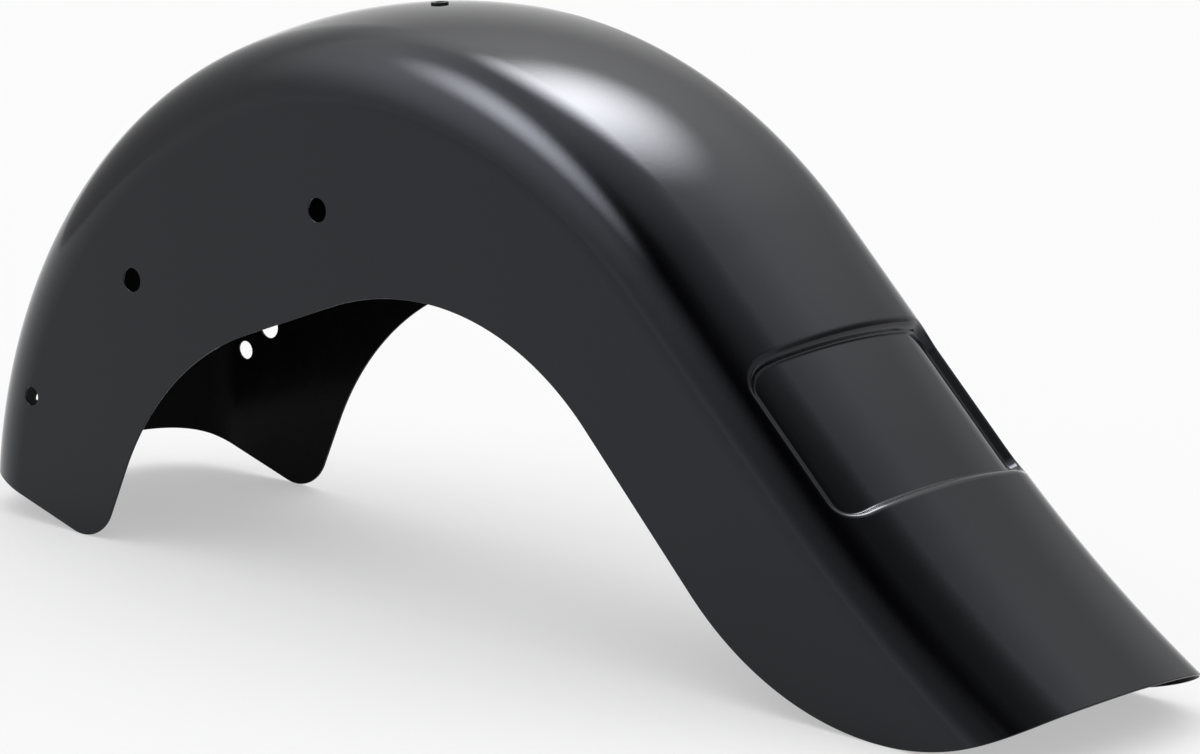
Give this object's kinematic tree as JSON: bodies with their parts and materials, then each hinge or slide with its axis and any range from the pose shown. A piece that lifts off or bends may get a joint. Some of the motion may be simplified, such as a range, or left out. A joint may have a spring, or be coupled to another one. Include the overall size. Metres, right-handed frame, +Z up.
{
  "type": "motorcycle rear fender",
  "caption": "Pressed steel rear fender with a rounded wheel arch crown, upright side walls, a recessed panel in its flicked tail and mounting holes.",
  "frame": {"origin": "middle of the bounding box on the floor that the front feet and the tail stand on", "axes": "+X to the rear of the motorcycle, +Y to its right side, +Z up"},
  "size_m": [0.9658, 0.21, 0.3929],
  "materials": {
    "gloss_black_paint": "gloss",
    "black_zinc": "satin"
  },
  "bodies": {
    "root": {"fender_shell": "gloss_black_paint", "seat_nut": "black_zinc"}
  },
  "joints": []
}
